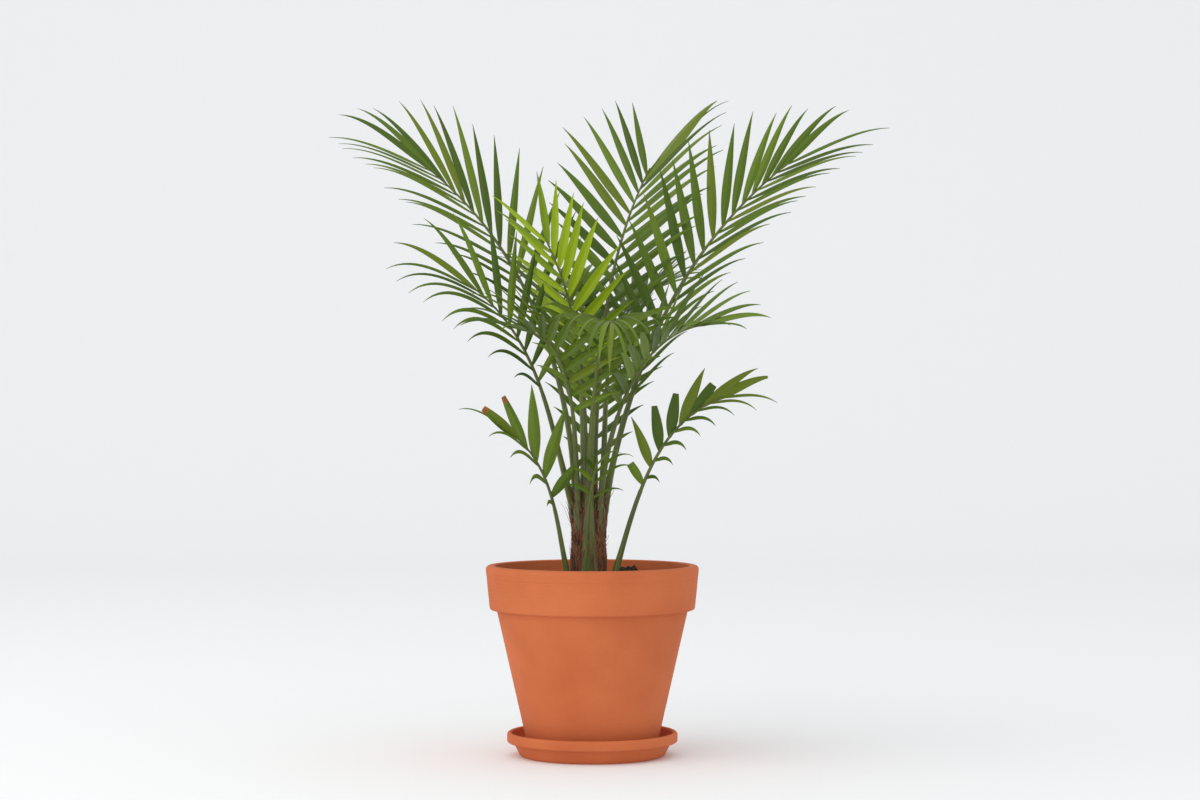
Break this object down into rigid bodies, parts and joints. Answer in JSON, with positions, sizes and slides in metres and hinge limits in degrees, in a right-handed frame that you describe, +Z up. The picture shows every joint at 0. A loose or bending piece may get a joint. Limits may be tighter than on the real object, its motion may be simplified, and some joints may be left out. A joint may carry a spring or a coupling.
{
  "type": "potted feather palm",
  "caption": "Young feather palm with arching fronds of broad leaflets on slim stalks, rising from a short fibrous stem in a round terracotta pot on its saucer.",
  "frame": {"origin": "middle of the saucer's flat underside", "axes": "+Z up, +X to the viewer's right and -Y towards the viewer in the pictured view"},
  "size_m": [0.7889, 0.7256, 0.9441],
  "materials": {
    "terracotta": "unglazed matt fired clay",
    "potting_mix": "dark crumbly potting mix",
    "leaf_base_fibre": "coarse brown leaf-base fibre",
    "stalk_green": "smooth green stalk",
    "leaf_green": "satin mid-green leaf",
    "young_leaf_green": "satin yellow-green young leaf"
  },
  "bodies": {
    "root": {"saucer": "terracotta", "pot": "terracotta", "potting_mix": "potting_mix", "trunk": "leaf_base_fibre", "stalk_upper_left": "stalk_green", "stalk_upper_right": "stalk_green", "stalk_upper_centre": "stalk_green", "stalk_middle_left": "stalk_green", "stalk_low_right": "stalk_green", "stalk_low_left": "stalk_green", "stalk_young": "stalk_green", "stalk_front_arching": "stalk_green", "stalk_front_right": "stalk_green", "stalk_front_left": "stalk_green", "stalk_front_small": "stalk_green", "stalk_back_left": "stalk_green", "stalk_back_right": "stalk_green", "stalk_back_low": "stalk_green", "frond_upper_left": "leaf_green", "frond_upper_right": "leaf_green", "frond_upper_centre": "leaf_green", "frond_middle_left": "leaf_green", "frond_low_right": "leaf_green", "frond_low_left": "leaf_green", "frond_young": "young_leaf_green", "frond_front_arching": "leaf_green", "frond_front_right": "leaf_green", "frond_front_left": "leaf_green", "frond_front_small": "leaf_green", "frond_back_left": "leaf_green", "frond_back_right": "leaf_green", "frond_back_low": "leaf_green"}
  },
  "joints": []
}
